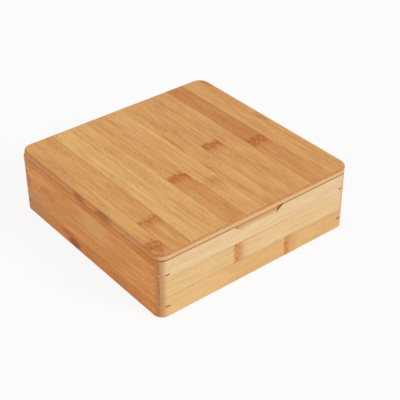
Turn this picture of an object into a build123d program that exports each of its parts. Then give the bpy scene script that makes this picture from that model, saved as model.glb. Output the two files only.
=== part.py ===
from build123d import *
import os
from math import atan2, degrees, hypot

# A bamboo gift box with a hinged lid, in millimetres.
# It stands on the XY plane with the centre of its base at the origin.
# The finger notch faces -Y and the hinges are on the +Y side.
# Walls and lid are boards of bamboo strips glued edge to edge. Each board is shaped whole, as it is
# after glueing, and its strips are then cut from it along the seams, so each one is a piece.

# Case
case_length = 240.0
case_depth = 240.0
wall_height = 67.0
wall_thickness = 9.0
case_corner_radius = 10.0
arris_width = 0.8

# Widths of the strips in a wall from the base up, in proportion: together they fill its height
front_strip_widths = (23.8, 21.7, 21.5)
side_strip_widths = (16.0, 20.5, 23.0, 7.5)

# Finger notch in the outer face of the front wall, whose floor slopes up to the rim. The land is
# what it leaves of the rim's width.
notch_top_width = 65.0
notch_floor_width = 44.0
notch_depth = 7.2
notch_radius = 7.0
notch_land = 1.8

# Bottom panel in its rebate
panel_thickness = 4.0
rebate_width = 4.0
panel_corner_radius = 5.0

# Splines in saw kerfs across the mitres
spline_thickness = 1.6
spline_reach = 12.3
spline_heights = {"low": 12.8, "high": 49.8}

# Lid board, which stands proud of the walls at the front and sides and short of them at the back
lid_thickness = 7.5
lid_gap = 0.4
lid_side_overhang = 0.5
lid_front_overhang = 1.0
lid_back_inset = 2.2
lid_corner_radius = 12.3
lid_top_radius = 2.3

# Widths of the strips in the lid from left to right, in proportion: together they fill its length
lid_strip_widths = (16.0, 21.8, 21.4, 21.9, 22.1, 22.8, 20.6, 20.6, 21.4, 22.3, 20.6, 9.5)

# Butt hinges with a stop inside the knuckles
hinge_end_distance = 48.0
hinge_length = 25.0
knuckle_count = 3
knuckle_gap = 0.15
barrel_radius = 1.8
barrel_clearance = 0.3
barrel_setback = 1.0
leaf_thickness = 1.0
leaf_width = 7.5
pin_radius = 0.8
pin_clearance = 0.05
stop_length = 0.8
stop_start = 190.0
stop_sweep = 50.0
stop_clearance = 1.0
opening_angle = 105.0

# Countersunk screws, whose heads are as deep as the leaf is thick
screw_spacing = 15.0
screw_head_radius = 1.6
screw_shank_radius = 0.8
screw_clearance = 0.05
case_screw_length = 10.0
lid_screw_length = 5.5
slot_width = 0.5
slot_depth = 0.5

# What follows from the sizes above
half_length = case_length / 2
half_depth = case_depth / 2
notch_floor = wall_height - notch_depth
notch_slope = degrees(atan2(notch_depth, wall_thickness - notch_land))
lid_bottom = wall_height + lid_gap
lid_length = case_length + 2 * lid_side_overhang
lid_depth = case_depth + lid_front_overhang - lid_back_inset
lid_centre = -(lid_front_overhang + lid_back_inset) / 2
hinge_y = half_depth + barrel_setback
hinge_z = wall_height + lid_gap / 2
leaf_front = half_depth - leaf_width
screw_y = half_depth - leaf_width / 2
knuckle_pitch = hinge_length / knuckle_count
hinge_offset = half_length - hinge_end_distance
hinge_places = {"left": -hinge_offset, "right": hinge_offset}
beyond = 1.0
nearly = 0.01

corner_names = ("front_left", "front_right", "back_right", "back_left")
corner_signs = ((-1, -1), (1, -1), (1, 1), (-1, 1))

os.makedirs("parts", exist_ok=True)


def write(piece, name):
    """Labels a finished piece and writes it under its name."""
    piece.part.label = name
    export_step(piece.part, f"parts/{name}.step")


def strip_edges(start, end, widths):
    """The two edges of each strip that a board between start and end is glued from."""
    scale = (end - start) / sum(widths)
    edges = [start + scale * sum(widths[:count]) for count in range(len(widths) + 1)]
    return list(zip(edges, edges[1:]))


def inset(point):
    """How far inside the rounded outline of the case a point lies."""
    dx = abs(point.X) - (half_length - case_corner_radius)
    dy = abs(point.Y) - (half_depth - case_corner_radius)
    return case_corner_radius - hypot(max(dx, 0), max(dy, 0)) - min(max(dx, dy), 0)


def is_at(edge, depth, height):
    """Whether an edge's middle lies this far inside the outline, at this height."""
    middle = edge @ 0.5
    return abs(inset(middle) - depth) < nearly and abs(middle.Z - height) < nearly


def kerf_outline(corner, spare):
    """The triangle that a saw cuts across one corner, drawn in the sketch that is open."""
    sign_x, sign_y = corner_signs[corner]
    x, y = sign_x * (half_length + spare), sign_y * (half_depth + spare)
    leg = spline_reach + 2 * spare
    Polygon((x, y), (x - sign_x * leg, y), (x, y - sign_y * leg), align=None, mode=Mode.INTERSECT)


def screw_form(x, face, into, length, clearance=0.0, mode=Mode.ADD):
    """A countersunk screw, or the hole for one, from a face up (into 1) or down (into -1)."""
    place = Plane(origin=(x, screw_y, face), x_dir=(1, 0, 0), z_dir=(0, into, 0))
    head, shank = screw_head_radius + clearance, screw_shank_radius + clearance
    end = -(length + clearance)
    with BuildSketch(place) as half:
        with BuildLine():
            Polyline((0, 0), (head, 0), (shank, -leaf_thickness), (shank, end), (0, end), (0, 0))
        make_face()
    revolve(half.sketch, axis=Axis((x, screw_y, face), (0, 0, 1)), mode=mode)


def barrel_form(start, length, radius, mode=Mode.ADD):
    """A round bar along a hinge's axis, or the hole for one, from a place along X."""
    with BuildSketch(Plane.YZ.offset(start)) as disc:
        with Locations((hinge_y, hinge_z)):
            Circle(radius)
    extrude(disc.sketch, amount=length, mode=mode)


def stop_form(start, length, first_angle, sweep, mode=Mode.ADD):
    """A sector of a knuckle's ring: the tooth of the stop, or the recess that it turns in."""
    centre = (hinge_y, hinge_z)
    bore, rim = pin_radius + pin_clearance, barrel_radius
    with BuildSketch(Plane.YZ.offset(start)) as sector:
        with BuildLine():
            inner = CenterArc(centre, bore, first_angle, sweep)
            outer = CenterArc(centre, rim, first_angle, sweep)
            Line(inner @ 0, outer @ 0)
            Line(inner @ 1, outer @ 1)
        make_face()
    extrude(sector.sketch, amount=length, mode=mode)


def screw_places():
    """Where the screws of one leaf row stand along X, two to a hinge."""
    return [x + side * screw_spacing / 2 for x in hinge_places.values() for side in (-1, 1)]


# The cutter of the finger notch: its ends slope and are rounded into the rim and the floor, and
# its floor climbs back from the outer face
with BuildPart() as notch_cutter:
    with BuildSketch(Plane.XZ.offset(half_depth + beyond)):
        with BuildLine():
            notch_end = notch_top_width / 2 + 2 * notch_radius
            rim = FilletPolyline(
                (-notch_end, wall_height),
                (-notch_top_width / 2, wall_height),
                (-notch_floor_width / 2, notch_floor),
                (notch_floor_width / 2, notch_floor),
                (notch_top_width / 2, wall_height),
                (notch_end, wall_height),
                radius=notch_radius,
            )
            Polyline(
                rim @ 1,
                (notch_end, wall_height + beyond),
                (-notch_end, wall_height + beyond),
                rim @ 0,
            )
        make_face()
    extrude(amount=-(wall_thickness + 2 * beyond))
    climb = Plane((0, -half_depth, notch_floor)).rotated((notch_slope, 0, 0))
    split(bisect_by=climb, keep=Keep.TOP)

# The four walls in one ring, before they are cut into strips
with BuildPart() as walls:
    with BuildSketch():
        RectangleRounded(case_length, case_depth, case_corner_radius)
        Rectangle(
            case_length - 2 * wall_thickness, case_depth - 2 * wall_thickness, mode=Mode.SUBTRACT
        )
    extrude(amount=wall_height)

    # Eased edges: the rim inside and out, and the outer foot
    soft_edges = [
        edge
        for edge in walls.edges()
        if is_at(edge, 0, wall_height)
        or is_at(edge, wall_thickness, wall_height)
        or is_at(edge, 0, 0)
    ]
    chamfer(soft_edges, length=arris_width)
    add(notch_cutter.part, mode=Mode.SUBTRACT)

    # Rebate for the bottom panel
    panel_length = case_length - 2 * (wall_thickness - rebate_width)
    panel_depth = case_depth - 2 * (wall_thickness - rebate_width)
    with BuildSketch():
        RectangleRounded(panel_length, panel_depth, panel_corner_radius)
    extrude(amount=panel_thickness, mode=Mode.SUBTRACT)

    # Saw kerfs for the splines
    for kerf_height in spline_heights.values():
        for corner in range(len(corner_signs)):
            with BuildSketch(Plane.XY.offset(kerf_height - spline_thickness / 2)):
                Rectangle(2 * case_length, 2 * case_depth)
                kerf_outline(corner, beyond)
            extrude(amount=spline_thickness, mode=Mode.SUBTRACT)

    # A mortise for each hinge leaf, a cove for its barrel and holes for its screws
    for hinge_x in hinge_places.values():
        with BuildSketch(Plane.XY.offset(wall_height - leaf_thickness)):
            with Locations((hinge_x, leaf_front + (leaf_width + beyond) / 2)):
                Rectangle(hinge_length, leaf_width + beyond)
        extrude(amount=leaf_thickness + beyond, mode=Mode.SUBTRACT)
        cove_length = hinge_length + 2 * barrel_clearance
        cove_radius = barrel_radius + barrel_clearance
        barrel_form(hinge_x - cove_length / 2, cove_length, cove_radius, Mode.SUBTRACT)
    for screw_x in screw_places():
        screw_form(screw_x, wall_height, -1, case_screw_length, screw_clearance, Mode.SUBTRACT)

# Strips of each wall, between its two mitres
side_widths = {
    "front": front_strip_widths,
    "right": side_strip_widths,
    "back": front_strip_widths,
    "left": side_strip_widths,
}
mitre = 1.5 * wall_thickness
outer_corners = [(x * half_length, y * half_depth) for x, y in corner_signs]
inner_corners = [(x * (half_length - mitre), y * (half_depth - mitre)) for x, y in corner_signs]
for side, (side_name, widths) in enumerate(side_widths.items()):
    following = (side + 1) % len(corner_signs)
    for number, (low, high) in enumerate(strip_edges(0, wall_height, widths), start=1):
        with BuildPart() as wall_strip:
            add(walls.part)
            with BuildSketch(Plane.XY.offset(low)):
                Polygon(
                    outer_corners[side],
                    outer_corners[following],
                    inner_corners[following],
                    inner_corners[side],
                    align=None,
                )
            extrude(amount=high - low, mode=Mode.INTERSECT)
        write(wall_strip, f"{side_name}_wall_strip_{number}")

# Corner splines
for corner, corner_name in enumerate(corner_names):
    for level, spline_height in spline_heights.items():
        with BuildPart() as corner_spline:
            with BuildSketch(Plane.XY.offset(spline_height - spline_thickness / 2)):
                RectangleRounded(case_length, case_depth, case_corner_radius)
                kerf_outline(corner, beyond)
            extrude(amount=spline_thickness)
        write(corner_spline, f"corner_spline_{corner_name}_{level}")

# Bottom panel
with BuildPart() as bottom_panel:
    with BuildSketch():
        RectangleRounded(panel_length, panel_depth, panel_corner_radius)
    extrude(amount=panel_thickness)
write(bottom_panel, "bottom_panel")

# The lid board, before it is cut into strips
with BuildPart() as lid_board:
    with BuildSketch(Plane.XY.offset(lid_bottom)):
        with Locations((0, lid_centre)):
            RectangleRounded(lid_length, lid_depth, lid_corner_radius)
    extrude(amount=lid_thickness)
    fillet(lid_board.faces().sort_by(Axis.Z)[-1].edges(), radius=lid_top_radius)
    chamfer(lid_board.faces().sort_by(Axis.Z)[0].edges(), length=arris_width)
    for hinge_x in hinge_places.values():
        with BuildSketch(Plane.XY.offset(lid_bottom - beyond)):
            with Locations((hinge_x, leaf_front + leaf_width / 2)):
                Rectangle(hinge_length, leaf_width)
        extrude(amount=leaf_thickness + beyond, mode=Mode.SUBTRACT)
    for screw_x in screw_places():
        screw_form(screw_x, lid_bottom, 1, lid_screw_length, screw_clearance, Mode.SUBTRACT)

# Strips of the lid, which run from front to back
lid_edges = strip_edges(-lid_length / 2, lid_length / 2, lid_strip_widths)
for number, (left, right) in enumerate(lid_edges, start=1):
    with BuildPart() as lid_strip:
        add(lid_board.part)
        with BuildSketch(Plane.XY.offset(lid_bottom - beyond)):
            with Locations(((left + right) / 2, 0)):
                Rectangle(right - left, 2 * case_depth)
        extrude(amount=lid_thickness + 2 * beyond, mode=Mode.INTERSECT)
    write(lid_strip, f"lid_strip_{number:02d}")

# Hinges. The outer knuckles are the case leaf's and the middle one is the lid leaf's.
# A tooth on each outer knuckle turns in a recess of the middle one, and stops the lid when open.
case_knuckles = range(0, knuckle_count, 2)
lid_knuckles = range(1, knuckle_count, 2)
middle_knuckle = knuckle_count // 2
knuckle_length = knuckle_pitch - knuckle_gap
turning_radius = barrel_radius + barrel_clearance
recess_start = stop_start - stop_clearance
recess_sweep = stop_sweep + opening_angle + 2 * stop_clearance

for hinge_name, hinge_x in hinge_places.items():
    hinge_start = hinge_x - hinge_length / 2
    knuckle_starts = [
        hinge_start + index * knuckle_pitch + knuckle_gap / 2 for index in range(knuckle_count)
    ]
    middle_start = knuckle_starts[middle_knuckle]
    middle_end = middle_start + knuckle_length
    screw_xs = [hinge_x + side * screw_spacing / 2 for side in (-1, 1)]
    plate_length = hinge_y - leaf_front

    with BuildPart() as case_leaf:
        with BuildSketch(Plane.XY.offset(wall_height - leaf_thickness)):
            with Locations((hinge_x, leaf_front + plate_length / 2)):
                Rectangle(hinge_length, plate_length)
        extrude(amount=leaf_thickness)
        for index in lid_knuckles:
            cut_start = knuckle_starts[index] - knuckle_gap
            barrel_form(cut_start, knuckle_length + 2 * knuckle_gap, turning_radius, Mode.SUBTRACT)
        for index in case_knuckles:
            barrel_form(knuckle_starts[index], knuckle_length, barrel_radius)
        for tooth_start in (middle_start - knuckle_gap, middle_end + knuckle_gap - stop_length):
            stop_form(tooth_start, stop_length, stop_start, stop_sweep)
        barrel_form(hinge_start, hinge_length, pin_radius + pin_clearance, Mode.SUBTRACT)
        for screw_x in screw_xs:
            screw_form(
                screw_x, wall_height, -1, case_screw_length, screw_clearance, Mode.SUBTRACT
            )
    write(case_leaf, f"hinge_case_leaf_{hinge_name}")

    with BuildPart() as lid_leaf:
        with BuildSketch(Plane.XY.offset(lid_bottom)):
            with Locations((hinge_x, leaf_front + plate_length / 2)):
                Rectangle(hinge_length, plate_length)
        extrude(amount=leaf_thickness)
        for index in case_knuckles:
            cut_start = knuckle_starts[index] - knuckle_gap
            barrel_form(cut_start, knuckle_length + 2 * knuckle_gap, turning_radius, Mode.SUBTRACT)
        for index in lid_knuckles:
            barrel_form(knuckle_starts[index], knuckle_length, barrel_radius)
        for recess_place in (middle_start, middle_end - stop_length):
            stop_form(recess_place, stop_length, recess_start, recess_sweep, Mode.SUBTRACT)
        barrel_form(hinge_start, hinge_length, pin_radius + pin_clearance, Mode.SUBTRACT)
        for screw_x in screw_xs:
            screw_form(screw_x, lid_bottom, 1, lid_screw_length, screw_clearance, Mode.SUBTRACT)
    write(lid_leaf, f"hinge_lid_leaf_{hinge_name}")

    with BuildPart() as hinge_pin:
        barrel_form(hinge_start, hinge_length, pin_radius)
    write(hinge_pin, f"hinge_pin_{hinge_name}")

# Screws, with a driver's slot across each head
screw_rows = {
    "case_hinge_screws": (wall_height, -1, case_screw_length),
    "lid_hinge_screws": (lid_bottom, 1, lid_screw_length),
}
for row_name, (face, into, length) in screw_rows.items():
    with BuildPart() as screw_row:
        for screw_x in screw_places():
            screw_form(screw_x, face, into, length)
        with BuildSketch(Plane.XY.offset(face)):
            for screw_x in screw_places():
                with Locations((screw_x, screw_y)):
                    Rectangle(2 * screw_head_radius + beyond, slot_width)
        extrude(amount=into * slot_depth, mode=Mode.SUBTRACT)
    write(screw_row, row_name)
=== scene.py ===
from collections import namedtuple
from math import cos, radians, sin

import bpy
from mathutils import Matrix, Vector


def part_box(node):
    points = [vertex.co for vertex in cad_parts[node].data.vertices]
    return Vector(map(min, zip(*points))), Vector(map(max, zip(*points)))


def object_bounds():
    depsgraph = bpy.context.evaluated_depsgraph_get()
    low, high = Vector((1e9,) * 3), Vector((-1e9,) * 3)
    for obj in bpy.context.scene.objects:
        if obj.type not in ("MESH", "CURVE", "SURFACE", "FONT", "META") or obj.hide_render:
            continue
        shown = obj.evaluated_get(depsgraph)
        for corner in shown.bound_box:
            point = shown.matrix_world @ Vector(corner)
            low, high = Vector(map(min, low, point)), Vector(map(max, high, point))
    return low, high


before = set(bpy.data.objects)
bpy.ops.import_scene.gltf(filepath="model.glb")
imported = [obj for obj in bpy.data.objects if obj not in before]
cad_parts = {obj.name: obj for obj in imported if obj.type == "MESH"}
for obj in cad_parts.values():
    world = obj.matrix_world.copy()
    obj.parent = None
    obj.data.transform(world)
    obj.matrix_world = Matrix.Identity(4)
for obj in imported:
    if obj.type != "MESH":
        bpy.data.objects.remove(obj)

cad_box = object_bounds()

# A bamboo gift box with a hinged lid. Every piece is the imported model's own; this script gives each
# one its material, and sets up the floor, the light and the camera. Lengths are in metres.
MM = 0.001
AXES = "XYZ"
WHITE = (1.0, 1.0, 1.0, 1.0)


def span(node, axis):
    """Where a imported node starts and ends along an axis."""
    low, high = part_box(node)
    index = AXES.index(axis)
    return low[index], high[index]


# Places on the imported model. The last is X and Y added up at the sharp corner that the rounded
# corners of the case were cut from.
WALL_TOP = span("front_wall_strip_3", "Z")[1]
LID_BASE, LID_TOP = span("lid_strip_06", "Z")
CORNER_REACH = -span("left_wall_strip_1", "X")[0] - span("front_wall_strip_1", "Y")[0]

# Camera, which looks along +Y at azimuth 0 and from further left as the azimuth grows
CAMERA_AZIMUTH = radians(38.60)
CAMERA_ELEVATION = radians(34.926)
CAMERA_ROLL = radians(-0.282)
CAMERA_DISTANCE = 1.0906
CAMERA_RIGHT = 0.0185
CAMERA_UP = 0.0156
SENSOR_WIDTH = 36.0
FOCAL_LENGTH = 92.34

# Light: a soft key from low at the front right, a weak fill from the left, and an even sky
KEY_FROM = (0.36, -0.80, 0.48)
KEY_STRENGTH = 2.1
KEY_ANGLE = radians(25)
FILL_FROM = (-0.85, -0.15, 0.50)
FILL_STRENGTH = 0.65
FILL_ANGLE = radians(60)
SKY_STRENGTH = 0.45

# Floor: pale, and mostly white in itself where it is seen, so that it keeps a soft shadow
FLOOR_HALF_WIDTH = 3.0
FLOOR_DROP = 0.2 * MM
FLOOR_COLOUR = (0.88, 0.88, 0.88, 1.0)
FLOOR_WHITENESS = 0.88

# Bamboo tones as they look on a screen, from 0 to 255
TONES = {
    "ivory": (218, 185, 140),
    "cream": (216, 180, 131),
    "sand": (214, 176, 122),
    "golden": (208, 164, 106),
    "straw": (231, 177, 107),
    "wheat": (228, 171, 102),
    "honey": (222, 161, 93),
    "amber": (216, 149, 82),
    "copper": (228, 151, 76),
    "ember": (218, 137, 57),
    "russet": (206, 135, 68),
    "rose": (198, 146, 96),
    "mauve": (204, 146, 118),
    "rust": (190, 98, 50),
    "garnet": (168, 68, 12),
    "umber": (152, 86, 44),
}
# What the dark and the light streaks of a tone are, as shares of its red, green and blue
DARK_STREAK = (0.91, 0.86, 0.79)
LIGHT_STREAK = (1.05, 1.09, 1.15)

# Other tones: node marks and the stain behind them, dashes, pores and glue, the lid's left and right
# sides and its rim, painted shade at the gap under the lid, the lid's painted shadow on the notch's
# floor, spline ends, end grain, and brass
MARK_TONE = (178, 85, 24)
STAIN_TONE = (196, 123, 58)
LINE_TONE = (116, 68, 34)
LID_SIDE_TONE = (215, 137, 62)
RIM_TONE = (168, 106, 56)
# Painted shade at the gap under the lid
GAP_SHADE_TONE = (116, 64, 20)
# Painted shadow of the lid on the notch's floor
NOTCH_SHADOW_TONE = (184, 134, 74)
SPLINE_TIP_TONE = (110, 62, 30)
LID_END_TONE = (212, 167, 120)
PALE_END_TONE = (194, 141, 95)
DEEP_END_TONE = (186, 127, 83)
BRASS_TONE = (222, 190, 122)
TARNISH_TONE = (186, 148, 84)

# The noises in bamboo, and the cells of its vascular bundles: their length and width in millimetres,
# the number that each adds to a strip's seed, and their detail
Noise = namedtuple("Noise", "length width seed detail", defaults=(2.0,))
NOISES = {
    "wander": Noise(70, 14, 0.5),
    "clouds": Noise(60, 9, 1, 3.0),
    "bands": Noise(140, 2.6, 2),
    "fibres": Noise(32, 1.2, 3),
    "mark_starts": Noise(14, 1.5, 4, 3.0),
    "mark_ends": Noise(14, 1.5, 5, 3.0),
    "speckles": Noise(4, 1.8, 6, 3.0),
    "blotches": Noise(9, 2.5, 7, 3.0),
    "bundles": Noise(45, 1.15, 8),
    "glue": Noise(22, 30, 9),
    "handling": Noise(16, 4, 10, 3.0),
    "flecks": Noise(4, 1.3, 11),
    "hairs": Noise(25, 0.7, 12),
    "pores": Noise(1.6, 1.6, 13),
}
# How far apart the seeds of a board's strips are, so that no two noises share one
SEED_STEP = 13

# In what follows, NOISE is the two values of a noise between which something comes in, TURN is how
# far a face is turned to an axis where it does, from 0 to 1, and FADE is where it starts to go and
# where it is gone

# How far the grain wanders from straight, each way
WANDER = 1.2 * MM

# The streaks of a tone: what they are made of, and between which sums they go from dark to light
STREAK_SHARES = {"clouds": 1.3, "bands": 1.1, "fibres": 2.0, "hairs": 0.9, "flecks": 1.3}
STREAK_SUMS = (-0.25, 1.25)

# Node marks, as shares of a mark's length from its start: where it is full, where a tone beyond it
# is, and where its body and its stain fade; then the stain's strength, and the speckles in the body
MARK_FULL = 0.3
MARK_BEYOND_FULL = 0.8
MARK_BODY_FADE = (0.6, 1.5)
MARK_STAIN_FADE = (1.0, 2.2)
MARK_STAIN_STRENGTH = 0.4
SPECKLE_NOISE = (0.38, 0.60)
SPECKLE_LEAST = 0.25

# Patches: where they fade, and how far the blotches move that, each way, both as the square of the
# distance from a patch's middle, which is 1 at its half length or half width
PATCH_FADE = (0.2, 1.3)
PATCH_BLOTCHES = 0.9

# Vascular bundles: how dark their dashes are at full contrast, where those fade from the middle of
# their cells, how deep they are beside the fibres, and their pores
BUNDLE_STRENGTH = 0.18
BUNDLE_FADE = (0.10, 0.32)
BUNDLE_RELIEF = 1.5
PORE_NOISE = (0.48, 0.62)

# How much of its own tone end grain takes, and how much the lid's left and right sides do
END_STRENGTH = 0.9
LID_SIDE_STRENGTH = 0.9
LID_SIDE_TURN = (0.5, 0.9)

# The finish of bamboo: its roughness, what its bands and its bundles add to that, its gloss, and how
# deep and how strong the relief of its fibres is
BAMBOO_ROUGHNESS = 0.40
BAND_ROUGHNESS = 0.20
BUNDLE_ROUGHNESS = 0.08
BAMBOO_GLOSS = 0.25
FIBRE_DEPTH = 0.05 * MM
FIBRE_STRENGTH = 0.6

# Drawn brass: its fine lines and its tarnish, its roughness and what they add to that, and how deep
# and how strong the relief of the lines is
BRASS_LINES = Noise(9, 0.12, 1)
TARNISH = Noise(3, 3, 2, 4.0)
TARNISH_NOISE = (0.35, 0.7)
BRASS_ROUGHNESS = 0.26
TARNISH_ROUGHNESS = 0.18
BRASS_LINE_ROUGHNESS = 0.1
BRASS_LINE_DEPTH = 0.02 * MM
BRASS_LINE_STRENGTH = 0.4

# Glue seams: how far from a line's middle it is full and where it ends, and how it comes and goes
SEAM_FULL = 0.10 * MM
SEAM_EDGE = 0.45 * MM
SEAM_NOISE = (0.3, 0.7)
SEAM_STRENGTHS = (0.10, 0.60)

# The bottom panel's strips of veneer, and how much they differ in shade, each way
PANEL_STRIPS = 11
PANEL_SHADES = 0.45

# The lid's rim: where below the top it starts and is full, and how far up a face looks where it
# fades; how much hands have darkened it at least and at most; and what its end grain adds to that
RIM_START = 3.3 * MM
RIM_FULL = 1.9 * MM
RIM_TOP_FADE = (0.88, 0.995)
RIM_NOISE = (0.35, 0.65)
RIM_STRENGTHS = (0.05, 0.30)
RIM_END_TURN = (0.1, 0.6)
RIM_END_STRENGTH = 0.55

# The notch's floor, where the lid's shadow is painted: how far up a face looks that is part of it,
# and how far up is too far; and where below the walls' top the painted shadow starts and where it is
# darkest
NOTCH_TURN = (0.5, 0.65)
NOTCH_TOP_FADE = (0.75, 0.9)
NOTCH_SHADE_START = 8.3 * MM
NOTCH_SHADE_FULL = 3.3 * MM

# Painted shade at the gap under the lid: how far its middle is below the gap's, how far it is full past
# the gap's edges, the length over which it ends, and its strength on faces to the front and the back
GAP_SHADE_DROP = 0.3 * MM
GAP_SHADE_MARGIN = 0.3 * MM
GAP_SHADE_END = 0.8 * MM
GAP_SHADE_STRENGTH = 0.7
GAP_SHADE_TURN = (0.3, 0.7)

# A spline's dark ends: where they start, as X and Y added up, short of the case's sharp corner, the
# length over which they come in, and their strength; their strength on the left and the right wall
# towards the front, and over what stretch of Y that fades
SPLINE_TIP_START = 7.0 * MM
SPLINE_TIP_LENGTH = 1.5 * MM
SPLINE_TIP_STRENGTH = 0.90
SPLINE_TIP_SIDE_STRENGTH = 0.30
SPLINE_SIDE_FADE = (0 * MM, 50 * MM)

# A node mark of the bamboo: where it starts along the strip, its strength from 0 to 1, its length,
# the way it runs along the grain's axis, and how ragged its ends are
Mark = namedtuple("Mark", "place strength length way ragged", defaults=(2.0,))

# A stain or a paler patch, or a patch of painted shade: its middle along and across the grain, its
# half length and half width, its strength from 0 to 1, and its tone
Patch = namedtuple("Patch", "along across length width strength tone")

# A strip's look: its tone, its marks, the tone beyond its first mark, its patches
Strip = namedtuple("Strip", "tone marks beyond patches", defaults=((), None, ()))

LID_STRIPS = (
    Strip("honey", (Mark(-0.094, 0.85, 0.016, -1),), patches=(
        Patch(-0.055, -0.1100, 0.035, 0.0120, 0.50, "straw"),
        Patch(0.085, -0.1215, 0.020, 0.0022, 0.40, "mauve"),
        Patch(-0.080, -0.1215, 0.024, 0.0024, 0.35, "mauve"),
        Patch(0.034, -0.1215, 0.012, 0.0022, 0.60, "mauve"),
        Patch(0.007, -0.1215, 0.012, 0.0024, 0.70, "umber"),
        Patch(-0.033, -0.1215, 0.017, 0.0024, 0.70, "umber"),
        Patch(-0.110, -0.1115, 0.008, 0.0045, 0.45, "rust"),
    )),
    Strip("honey", (Mark(-0.064, 0.65, 0.012, -1),), patches=(
        Patch(0.076, -0.090, 0.008, 0.004, 0.35, "russet"),
    )),
    Strip("straw"),
    Strip("wheat"),
    Strip("honey", (Mark(-0.023, 0.85, 0.012, -1),), "amber", (
        Patch(-0.084, -0.0365, 0.036, 0.0070, 0.60, "honey"),
    )),
    Strip("wheat", (Mark(-0.048, 0.35, 0.017, -1),)),
    Strip("honey", patches=(
        Patch(0.024, 0.0078, 0.022, 0.0022, 0.50, "rust"),
        Patch(-0.037, 0.0070, 0.010, 0.0016, 0.40, "rust"),
        Patch(-0.086, 0.0120, 0.020, 0.0026, 0.35, "rust"),
        Patch(-0.075, 0.0180, 0.040, 0.0070, 0.60, "straw"),
    )),
    Strip("honey", (Mark(0.003, 0.90, 0.012, -1),)),
    Strip("honey", patches=(Patch(-0.002, 0.0520, 0.008, 0.0024, 0.30, "rust"),)),
    Strip("russet", (Mark(-0.018, 1.00, 0.015, -1),), "amber"),
    Strip("honey"),
    Strip("honey", patches=(
        Patch(0.070, 0.1170, 0.050, 0.0080, 0.40, "russet"),
        Patch(0.103, 0.1165, 0.012, 0.0040, 0.50, "rust"),
        Patch(0.008, 0.1150, 0.014, 0.0035, 0.40, "rust"),
    )),
)
FRONT_STRIPS = (
    Strip("golden", (Mark(0.0338, 0.75, 0.0075, 1, 0.9),), patches=(
        Patch(-0.085, 0.011, 0.055, 0.020, 0.60, "sand"),
        Patch(0.047, 0.010, 0.006, 0.016, 0.60, "rose"),
    )),
    Strip("sand", (Mark(-0.0317, 0.80, 0.0095, 1, 0.8),), "cream"),
    Strip("ivory"),
)
BACK_STRIPS = (
    Strip("wheat", (Mark(-0.070, 0.60, 0.012, -1),)),
    Strip("straw", (Mark(0.052, 0.60, 0.012, 1),)),
    Strip("straw"),
)
# The left wall's deep orange tones are partly the bamboo's own colour and partly painted shade: the
# warmer look of this side away from the light
LEFT_STRIPS = (
    Strip("ember", patches=(
        Patch(0.098, 0.006, 0.026, 0.012, 0.60, "rose"),
        Patch(0.035, 0.012, 0.014, 0.0045, 0.75, "rust"),
        Patch(0.024, 0.006, 0.011, 0.0060, 0.95, "garnet"),
        Patch(-0.080, 0.004, 0.030, 0.004, 0.30, "russet"),
    )),
    Strip("copper", patches=(
        # Painted shade at the back end of the wall, by its corner
        Patch(0.108, 0.036, 0.006, 0.010, 0.50, "rust"),
        Patch(0.102, 0.020, 0.020, 0.010, 0.40, "rose"),
    )),
    Strip("copper", patches=(
        # Painted shade at the back end of the wall, by its corner
        Patch(0.108, 0.040, 0.006, 0.010, 0.50, "rust"),
        Patch(0.070, 0.040, 0.016, 0.008, 0.35, "rust"),
        Patch(0.030, 0.036, 0.022, 0.012, 0.35, "russet"),
        Patch(-0.017, 0.049, 0.026, 0.014, 0.60, "wheat"),
        Patch(-0.068, 0.050, 0.030, 0.010, 0.40, "russet"),
    )),
    Strip("ember", patches=(Patch(0.000, 0.064, 0.016, 0.005, 0.40, "rust"),)),
)
RIGHT_STRIPS = (
    Strip("amber", (Mark(-0.060, 0.60, 0.012, 1),)),
    Strip("honey"),
    Strip("wheat", (Mark(0.045, 0.60, 0.013, -1),)),
    Strip("honey"),
)


def linear(tone):
    """A colour on a screen, from 0 to 255, as the linear colour that a shader takes."""
    shares = [channel / 255 for channel in tone]
    return (*[s / 12.92 if s <= 0.04045 else ((s + 0.055) / 1.055) ** 2.4 for s in shares], 1.0)


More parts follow.
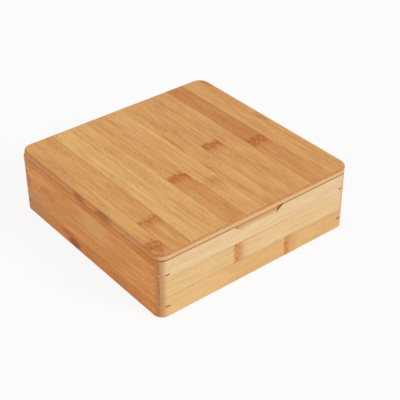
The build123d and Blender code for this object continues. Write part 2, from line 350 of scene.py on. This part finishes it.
class Nodes:
    """The node tree of a material or a world, with a short call for each kind of node."""

    def __init__(self, owner):
        owner.use_nodes = True
        self.tree = owner.node_tree
        self.tree.nodes.clear()

    def add(self, kind, inputs=(), **settings):
        """A node with its settings, and its inputs linked or set."""
        node = self.tree.nodes.new(kind)
        for setting, value in settings.items():
            setattr(node, setting, value)
        for socket, value in dict(inputs).items():
            if isinstance(value, bpy.types.NodeSocket):
                self.tree.links.new(value, node.inputs[socket])
            else:
                node.inputs[socket].default_value = value
        return node

    def math(self, operation, *values):
        return self.add("ShaderNodeMath", enumerate(values), operation=operation).outputs[0]

    def absolute(self, value):
        """The value without its sign."""
        return self.math("ABSOLUTE", value)

    def product(self, first, *others):
        """All the values multiplied."""
        for other in others:
            first = self.math("MULTIPLY", first, other)
        return first

    def step(self, value, start, end, low=0.0, high=1.0):
        """A smooth step from low to high as the value goes from start to end."""
        inputs = {0: value, 1: start, 2: end, 3: low, 4: high}
        node = self.add("ShaderNodeMapRange", inputs, interpolation_type="SMOOTHSTEP")
        return node.outputs[0]

    def mix(self, factor, first, second):
        """Two colours mixed by a factor."""
        inputs = {0: factor, 6: first, 7: second}
        return self.add("ShaderNodeMix", inputs, data_type="RGBA").outputs[2]

    def place(self, *values):
        """Three numbers as a place."""
        return self.add("ShaderNodeCombineXYZ", enumerate(values)).outputs[0]

    def scaled(self, place, length, width, seed):
        """A place counted in this length and width, in millimetres, and moved by the seed."""
        shift = (seed * 7.31, seed * 3.17, seed * 5.73)
        sizes = (length * MM, width * MM, width * MM)
        inputs = {"Vector": place, "Location": shift, "Scale": [1 / size for size in sizes]}
        return self.add("ShaderNodeMapping", inputs).outputs[0]

    def noise(self, place, length, width, seed, detail=2.0):
        """Noise from 0 to 1, around 0.5, with features of this length and width."""
        inputs = {"Vector": self.scaled(place, length, width, seed), "Scale": 1.0, "Detail": detail}
        return self.add("ShaderNodeTexNoise", inputs).outputs[0]

    def cells(self, place, length, width, seed):
        """The distance from the nearest of many scattered points, in this length and width."""
        inputs = {"Vector": self.scaled(place, length, width, seed), "Scale": 1.0}
        return self.add("ShaderNodeTexVoronoi", inputs).outputs["Distance"]

    def surface(self, colour, roughness, relief, depth, strength, constants):
        """The material's surface: a shader with this colour, roughness, relief and other inputs."""
        bump = self.add("ShaderNodeBump", {"Strength": strength, "Distance": depth, "Height": relief})
        inputs = {"Base Color": colour, "Roughness": roughness, "Normal": bump.outputs[0], **constants}
        shader = self.add("ShaderNodeBsdfPrincipled", inputs)
        self.add("ShaderNodeOutputMaterial", {"Surface": shader.outputs[0]})


class Wood:
    """What a strip of wood is drawn from: places on it, the way its surface faces, and its noises."""

    def __init__(self, nodes, board, seed):
        self.nodes = nodes
        self.seed = seed
        coordinates = nodes.add("ShaderNodeTexCoord").outputs
        self.place = nodes.add("ShaderNodeSeparateXYZ", {0: coordinates["Object"]}).outputs
        self.facing = nodes.add("ShaderNodeSeparateXYZ", {0: coordinates["Normal"]}).outputs
        self.along, self.across, deep = (self.place[axis] for axis in board.axes)
        self.straight = nodes.place(self.along, self.across, deep)

        # The grain wanders a little from straight, and may lean across the board
        wander = nodes.math("MULTIPLY_ADD", self.noise("wander", self.straight), 2 * WANDER, -WANDER)
        bent = nodes.math("ADD", self.across, wander)
        bent = nodes.math("MULTIPLY_ADD", self.along, board.lean, bent)
        self.grain = nodes.place(self.along, bent, deep)

    def noise(self, name, place=None):
        """One of the noises, which follows the grain unless it gets another place."""
        noise = NOISES[name]
        seed = self.seed + noise.seed
        return self.nodes.noise(place or self.grain, noise.length, noise.width, seed, noise.detail)


def grain_streaks(wood, noises, contrast):
    """How light the grain is, around 0.5, and further from it the stronger the contrast."""
    nodes = wood.nodes
    streaks = 0.5
    for name, share in STREAK_SHARES.items():
        around_zero = nodes.math("MULTIPLY_ADD", noises[name], share, -share / 2)
        streaks = nodes.math("ADD", around_zero, streaks)
    return nodes.step(streaks, *STREAK_SUMS, 0.5 - 0.5 * contrast, 0.5 + 0.5 * contrast)


def veneer_shades(wood, streaks, seams):
    """Streaks made lighter or darker from one strip of veneer to the next."""
    nodes = wood.nodes
    width = seams[1] - seams[0]
    number = nodes.math("MULTIPLY_ADD", wood.across, 1 / width, -seams[0] / width)
    number = nodes.math("FLOOR", number)
    shade = nodes.add("ShaderNodeTexWhiteNoise", {"W": number}, noise_dimensions="1D").outputs[0]
    shade = nodes.math("MULTIPLY_ADD", shade, 2 * PANEL_SHADES, -PANEL_SHADES)
    return nodes.math("ADD", streaks, shade)


def tone_of(nodes, name, streaks):
    """A bamboo tone, darker or lighter by its streaks."""
    tone = TONES[name]
    dark = linear([channel * share for channel, share in zip(tone, DARK_STREAK)])
    light = linear([channel * share for channel, share in zip(tone, LIGHT_STREAK)])
    return nodes.mix(streaks, dark, light)


def node_marks(wood, strip, streaks, colour):
    """A strip's colour with its node marks, and its other tone beyond the first of them."""
    nodes = wood.nodes
    starts = wood.noise("mark_starts")
    ends = wood.noise("mark_ends")
    speckles = nodes.step(wood.noise("speckles"), *SPECKLE_NOISE, SPECKLE_LEAST, 1.0)
    for number, mark in enumerate(strip.marks):
        length, ragged = mark.length, mark.ragged * mark.length
        run = nodes.math("MULTIPLY_ADD", wood.along, mark.way, -mark.way * mark.place - ragged / 2)
        first = nodes.math("MULTIPLY_ADD", starts, ragged, run)
        last = nodes.math("MULTIPLY_ADD", ends, ragged, run)
        if number == 0 and strip.beyond:
            past = nodes.step(first, 0.0, MARK_BEYOND_FULL * length)
            colour = nodes.mix(past, colour, tone_of(nodes, strip.beyond, streaks))

        # A stain trails from the mark, under its own dark and speckled body
        begun = nodes.step(first, 0.0, MARK_FULL * length)
        fade = [share * length for share in MARK_STAIN_FADE]
        stain = nodes.step(last, *fade, MARK_STAIN_STRENGTH, 0.0)
        colour = nodes.mix(nodes.product(begun, stain, mark.strength), colour, linear(STAIN_TONE))
        fade = [share * length for share in MARK_BODY_FADE]
        body = nodes.step(last, *fade, 1.0, 0.0)
        body = nodes.product(begun, body, speckles, mark.strength)
        colour = nodes.mix(body, colour, linear(MARK_TONE))
    return colour


def tone_patches(wood, patches, colour):
    """A colour with soft, blotchy patches of other tones."""
    nodes = wood.nodes
    blotches = wood.noise("blotches")
    blotches = nodes.math("MULTIPLY_ADD", blotches, 2 * PATCH_BLOTCHES, -PATCH_BLOTCHES)
    for patch in patches:
        run = nodes.math("MULTIPLY_ADD", wood.along, 1 / patch.length, -patch.along / patch.length)
        rise = nodes.math("MULTIPLY_ADD", wood.across, 1 / patch.width, -patch.across / patch.width)
        reach = nodes.math("MULTIPLY_ADD", run, run, nodes.product(rise, rise))
        reach = nodes.math("ADD", reach, blotches)
        amount = nodes.step(reach, *PATCH_FADE, patch.strength, 0.0)
        colour = nodes.mix(amount, colour, linear(TONES[patch.tone]))
    return colour


def lid_sides(wood, colour):
    """The lid's colour, deeper on its left and right sides."""
    nodes = wood.nodes
    sides = nodes.step(nodes.absolute(wood.facing["X"]), *LID_SIDE_TURN, 0.0, LID_SIDE_STRENGTH)
    return nodes.mix(sides, colour, linear(LID_SIDE_TONE))


def end_grain(wood, board):
    """Where end grain shows: 1 on faces across the grain, 0 on faces along it."""
    turned = wood.nodes.absolute(wood.facing[board.axes[0]])
    if board is SPLINE:
        # A spline looks like end grain where it goes round the corner, between X and Y
        turned = wood.nodes.product(turned, wood.nodes.absolute(wood.facing["Y"]), 2.0)
    return wood.nodes.step(turned, *board.turn)


def vascular_bundles(wood, board, ends):
    """How dark the vascular bundles are: thin dashes along the grain, and pores where it ends."""
    nodes, kind = wood.nodes, NOISES["bundles"]
    bundles = nodes.cells(wood.grain, kind.length, kind.width, wood.seed + kind.seed)
    dashes = nodes.step(bundles, *BUNDLE_FADE, BUNDLE_STRENGTH * board.contrast, 0.0)
    dashes = nodes.product(dashes, nodes.math("SUBTRACT", 1.0, ends))
    pores = nodes.step(wood.noise("pores", wood.straight), *PORE_NOISE, 0.0, board.pores)
    return nodes.math("MULTIPLY_ADD", pores, ends, dashes)


def glue_seams(wood, seams, ends):
    """How dark the glue lines are: thin lines at the seams, which come and go, and fade in end grain."""
    nodes = wood.nodes
    line = 0.0
    for seam in seams:
        distance = nodes.absolute(nodes.math("SUBTRACT", wood.across, seam))
        line = nodes.math("MAXIMUM", line, nodes.step(distance, SEAM_FULL, SEAM_EDGE, 1.0, 0.0))
    strength = nodes.step(wood.noise("glue", wood.straight), *SEAM_NOISE, *SEAM_STRENGTHS)
    return nodes.product(line, strength, nodes.math("MULTIPLY_ADD", ends, -END_STRENGTH, 1.0))


def lid_rim(wood, colour):
    """The lid's rounded rim, darkened by hands here and there, and more along its end grain."""
    nodes = wood.nodes
    rim = nodes.step(wood.place["Z"], LID_TOP - RIM_START, LID_TOP - RIM_FULL)
    rim = nodes.product(rim, nodes.step(nodes.absolute(wood.facing["Z"]), *RIM_TOP_FADE, 1.0, 0.0))
    handled = nodes.step(wood.noise("handling", wood.straight), *RIM_NOISE, *RIM_STRENGTHS)
    ends = nodes.step(nodes.absolute(wood.facing["Y"]), *RIM_END_TURN)
    handled = nodes.math("MULTIPLY_ADD", ends, RIM_END_STRENGTH, handled)
    return nodes.mix(nodes.product(rim, handled), colour, linear(RIM_TONE))


def notch_lid_shadow(wood, colour):
    """The sloping floor of the finger notch, with the lid's shadow painted on it in a dark golden tone,
    ever darker towards the lid.
    """
    nodes = wood.nodes
    upward = nodes.absolute(wood.facing["Z"])
    slope = nodes.step(upward, *NOTCH_TURN)
    slope = nodes.product(slope, nodes.step(upward, *NOTCH_TOP_FADE, 1.0, 0.0))
    # Painted shadow of the lid, darkest just under the walls' top
    shade = nodes.step(wood.place["Z"], WALL_TOP - NOTCH_SHADE_START, WALL_TOP - NOTCH_SHADE_FULL)
    return nodes.mix(nodes.product(slope, shade), colour, linear(NOTCH_SHADOW_TONE))


def gap_shade(wood, colour):
    """Painted shade at the gap under the lid, at the front and the back."""
    nodes = wood.nodes
    middle = (WALL_TOP + LID_BASE) / 2 - GAP_SHADE_DROP
    half = (LID_BASE - WALL_TOP) / 2 + GAP_SHADE_MARGIN
    distance = nodes.absolute(nodes.math("SUBTRACT", wood.place["Z"], middle))
    # Painted shade, full across the gap and fading above and below it
    painted_shade = nodes.step(distance, half, half + GAP_SHADE_END, GAP_SHADE_STRENGTH, 0.0)
    painted_shade = nodes.product(painted_shade, nodes.step(nodes.absolute(wood.facing["Y"]), *GAP_SHADE_TURN))
    return nodes.mix(painted_shade, colour, linear(GAP_SHADE_TONE))


def spline_tips(wood, colour):
    """A spline's two ends, where its kerf runs out, drawn dark.

    They are paler on the left and the right wall, towards the front.
    """
    nodes = wood.nodes
    reach = nodes.math("ADD", nodes.absolute(wood.place["X"]), nodes.absolute(wood.place["Y"]))
    start = CORNER_REACH - SPLINE_TIP_START
    tip = nodes.step(reach, start, start - SPLINE_TIP_LENGTH)
    side_share = nodes.step(wood.place["Y"], *SPLINE_SIDE_FADE, 1.0, 0.0)
    side_share = nodes.product(side_share, nodes.absolute(wood.facing["X"]))
    change = SPLINE_TIP_SIDE_STRENGTH - SPLINE_TIP_STRENGTH
    tip = nodes.product(tip, nodes.math("MULTIPLY_ADD", side_share, change, SPLINE_TIP_STRENGTH))
    return nodes.mix(tip, colour, linear(SPLINE_TIP_TONE))


# A board's look: its pieces' name, with the strip's number; the axes along, across and into its
# grain; its strips; the seed of its noises; how strong its streaks are, and how dark the pores of its
# end grain; the tone of that, and how far a face is turned to the grain's end where the tone starts
# and where it is full; how steeply the grain leans across; and what is drawn over the wood, painted
# shade at the gap under the lid and the lid's painted shadow on the notch's floor among it
Board = namedtuple(
    "Board", "pattern axes strips seed contrast pores end_tone turn lean touches", defaults=(0.0, ()),
)
LID = Board(
    pattern="lid_strip_{:02d}", axes="YXZ", strips=LID_STRIPS, seed=1, contrast=0.9, pores=0.1,
    end_tone=LID_END_TONE, turn=(0.40, 0.85), touches=(lid_rim, gap_shade),
)
FRONT_WALL = Board(
    pattern="front_wall_strip_{}", axes="XZY", strips=FRONT_STRIPS, seed=201, contrast=0.4, pores=0.2,
    end_tone=PALE_END_TONE, turn=(0.0, 0.65), touches=(notch_lid_shadow, gap_shade),
)
BACK_WALL = Board(
    pattern="back_wall_strip_{}", axes="XZY", strips=BACK_STRIPS, seed=301, contrast=0.6, pores=0.2,
    end_tone=PALE_END_TONE, turn=(0.0, 0.65), touches=(gap_shade,),
)
LEFT_WALL = Board(
    pattern="left_wall_strip_{}", axes="YZX", strips=LEFT_STRIPS, seed=401, contrast=1.15, pores=0.4,
    end_tone=DEEP_END_TONE, turn=(0.12, 0.70), lean=0.08, touches=(gap_shade,),
)
RIGHT_WALL = Board(
    pattern="right_wall_strip_{}", axes="YZX", strips=RIGHT_STRIPS, seed=501, contrast=0.8, pores=0.4,
    end_tone=DEEP_END_TONE, turn=(0.12, 0.70), lean=0.02, touches=(gap_shade,),
)
PANEL = Board(
    pattern="bottom_panel", axes="XYZ", strips=(Strip("wheat"),), seed=601, contrast=0.9, pores=0.2,
    end_tone=PALE_END_TONE, turn=(0.0, 0.65),
)
SPLINE = Board(
    pattern="corner_spline", axes="XYZ", strips=(Strip("golden"),), seed=701, contrast=0.5, pores=0.0,
    end_tone=PALE_END_TONE, turn=(0.0, 0.65), touches=(spline_tips,),
)


def bamboo(name, board, strip, seed, seams=()):
    """Bamboo with its grain along a board's first axis and glue seams across its second."""
    material = bpy.data.materials.new(name)
    nodes = Nodes(material)
    wood = Wood(nodes, board, seed)
    noises = {noise: wood.noise(noise) for noise in STREAK_SHARES}
    streaks = grain_streaks(wood, noises, board.contrast)
    if board is PANEL:
        streaks = veneer_shades(wood, streaks, seams)
    colour = tone_of(nodes, strip.tone, streaks)
    if strip.marks:
        colour = node_marks(wood, strip, streaks, colour)
    if board is LID:
        colour = lid_sides(wood, colour)
    if strip.patches:
        colour = tone_patches(wood, strip.patches, colour)

    # End grain, bundles and glue lines, and the relief that they and the fibres make
    ends = end_grain(wood, board)
    colour = nodes.mix(nodes.product(ends, END_STRENGTH), colour, linear(board.end_tone))
    bundles = vascular_bundles(wood, board, ends)
    colour = nodes.mix(bundles, colour, linear(LINE_TONE))
    relief = nodes.math("ADD", noises["fibres"], noises["hairs"])
    relief = nodes.math("MULTIPLY_ADD", bundles, -BUNDLE_RELIEF, relief)
    if seams:
        glue = glue_seams(wood, seams, ends)
        colour = nodes.mix(glue, colour, linear(LINE_TONE))
        relief = nodes.math("SUBTRACT", relief, glue)
    for touch in board.touches:
        colour = touch(wood, colour)

    # A satin finish, a little duller in the bundles
    roughness = nodes.math("MULTIPLY_ADD", noises["bands"], BAND_ROUGHNESS, BAMBOO_ROUGHNESS)
    roughness = nodes.math("MULTIPLY_ADD", bundles, BUNDLE_ROUGHNESS, roughness)
    gloss = {"Specular IOR Level": BAMBOO_GLOSS}
    nodes.surface(colour, roughness, relief, FIBRE_DEPTH, FIBRE_STRENGTH, gloss)
    return material


def brass(name):
    """Drawn brass, dulled by handling, with fine lines along the hinge."""
    material = bpy.data.materials.new(name)
    nodes = Nodes(material)
    place = nodes.add("ShaderNodeTexCoord").outputs["Object"]
    lines = nodes.noise(place, *BRASS_LINES)
    tarnish = nodes.step(nodes.noise(place, *TARNISH), *TARNISH_NOISE)
    colour = nodes.mix(tarnish, linear(BRASS_TONE), linear(TARNISH_TONE))
    roughness = nodes.math("MULTIPLY_ADD", tarnish, TARNISH_ROUGHNESS, BRASS_ROUGHNESS)
    roughness = nodes.math("MULTIPLY_ADD", lines, BRASS_LINE_ROUGHNESS, roughness)
    metal = {"Metallic": 1.0}
    nodes.surface(colour, roughness, lines, BRASS_LINE_DEPTH, BRASS_LINE_STRENGTH, metal)
    return material


def dress(node, material):
    """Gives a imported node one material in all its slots."""
    for material_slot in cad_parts[node].material_slots:
        material_slot.material = material


def dress_board(board):
    """The strips of one board, each with a seam on the sides where it meets another."""
    names = [board.pattern.format(number) for number in range(1, len(board.strips) + 1)]
    board_start = span(names[0], board.axes[1])[0]
    board_end = span(names[-1], board.axes[1])[1]
    for number, (name, strip) in enumerate(zip(names, board.strips)):
        seams = [edge for edge in span(name, board.axes[1]) if board_start < edge < board_end]
        seed = board.seed + SEED_STEP * number
        dress(name, bamboo(f"bamboo_{name}", board, strip, seed, seams))


def dress_panel():
    """The bottom panel, one sheet that is veneered with strips of its own."""
    start, end = span(PANEL.pattern, PANEL.axes[1])
    width = (end - start) / PANEL_STRIPS
    seams = [start + width * number for number in range(1, PANEL_STRIPS)]
    dress(PANEL.pattern, bamboo("bamboo_panel", PANEL, PANEL.strips[0], PANEL.seed, seams))


def dress_all():
    """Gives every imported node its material."""
    for board in (LID, FRONT_WALL, BACK_WALL, LEFT_WALL, RIGHT_WALL):
        dress_board(board)
    dress_panel()
    spline_material = bamboo("bamboo_spline", SPLINE, SPLINE.strips[0], SPLINE.seed)
    brass_material = brass("brass")
    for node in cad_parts:
        if node.startswith(SPLINE.pattern):
            dress(node, spline_material)
        elif node.startswith("hinge") or node.endswith("screws"):
            dress(node, brass_material)


def seen_directly(nodes):
    """1 for rays from the camera and rays mirrored or let through to it, 0 for those that only light."""
    path = nodes.add("ShaderNodeLightPath").outputs
    seen = nodes.math("MAXIMUM", path["Is Camera Ray"], path["Is Glossy Ray"])
    return nodes.math("MAXIMUM", seen, path["Is Transmission Ray"])


def add_floor():
    """A pale floor, mostly white in itself where it is seen, that keeps the box's soft shadow."""
    half = FLOOR_HALF_WIDTH
    corners = [(-half, -half, 0), (half, -half, 0), (half, half, 0), (-half, half, 0)]
    mesh = bpy.data.meshes.new("floor")
    mesh.from_pydata(corners, [], [(0, 1, 2, 3)])
    floor = bpy.data.objects.new("floor", mesh)
    floor.location.z = cad_box[0].z - FLOOR_DROP
    bpy.context.scene.collection.objects.link(floor)
    material = bpy.data.materials.new("floor")
    nodes = Nodes(material)
    matt = nodes.add("ShaderNodeBsdfDiffuse", {"Color": FLOOR_COLOUR}).outputs[0]
    white = nodes.add("ShaderNodeEmission", {"Color": WHITE, "Strength": 1.0}).outputs[0]
    share = nodes.product(seen_directly(nodes), FLOOR_WHITENESS)
    shader = nodes.add("ShaderNodeMixShader", {0: share, 1: matt, 2: white})
    nodes.add("ShaderNodeOutputMaterial", {"Surface": shader.outputs[0]})
    mesh.materials.append(material)


def add_sky():
    """An even sky, white where it is seen."""
    world = bpy.data.worlds.new("sky")
    bpy.context.scene.world = world
    nodes = Nodes(world)
    strength = nodes.math("MULTIPLY_ADD", seen_directly(nodes), 1 - SKY_STRENGTH, SKY_STRENGTH)
    sky = nodes.add("ShaderNodeBackground", {"Color": WHITE, "Strength": strength})
    nodes.add("ShaderNodeOutputWorld", {"Surface": sky.outputs[0]})


def add_sun(name, origin, strength, angle):
    """A broad, soft light from a direction."""
    light = bpy.data.lights.new(name, "SUN")
    light.energy = strength
    light.angle = angle
    sun = bpy.data.objects.new(name, light)
    sun.rotation_euler = Vector(origin).to_track_quat("Z", "Y").to_euler()
    bpy.context.scene.collection.objects.link(sun)


def add_camera():
    """The camera at the photograph's angle, turned about its own line of sight by the roll."""
    away = Vector((
        -sin(CAMERA_AZIMUTH) * cos(CAMERA_ELEVATION),
        -cos(CAMERA_AZIMUTH) * cos(CAMERA_ELEVATION),
        sin(CAMERA_ELEVATION),
    ))
    level = Vector((0, 0, 1)).cross(away).normalized()
    upright = away.cross(level)
    right = cos(CAMERA_ROLL) * level + sin(CAMERA_ROLL) * upright
    up = cos(CAMERA_ROLL) * upright - sin(CAMERA_ROLL) * level
    place = CAMERA_DISTANCE * away + CAMERA_RIGHT * level + CAMERA_UP * upright
    lens = bpy.data.cameras.new("camera")
    lens.lens = FOCAL_LENGTH
    lens.sensor_width = SENSOR_WIDTH
    camera = bpy.data.objects.new("camera", lens)
    turn = Matrix((right, up, away)).transposed()
    camera.matrix_world = Matrix.Translation(place) @ turn.to_4x4()
    bpy.context.scene.collection.objects.link(camera)
    bpy.context.scene.camera = camera


dress_all()
add_floor()
add_sky()
add_sun("key", KEY_FROM, KEY_STRENGTH, KEY_ANGLE)
add_sun("fill", FILL_FROM, FILL_STRENGTH, FILL_ANGLE)
add_camera()
bpy.context.scene.view_settings.view_transform = "Standard"
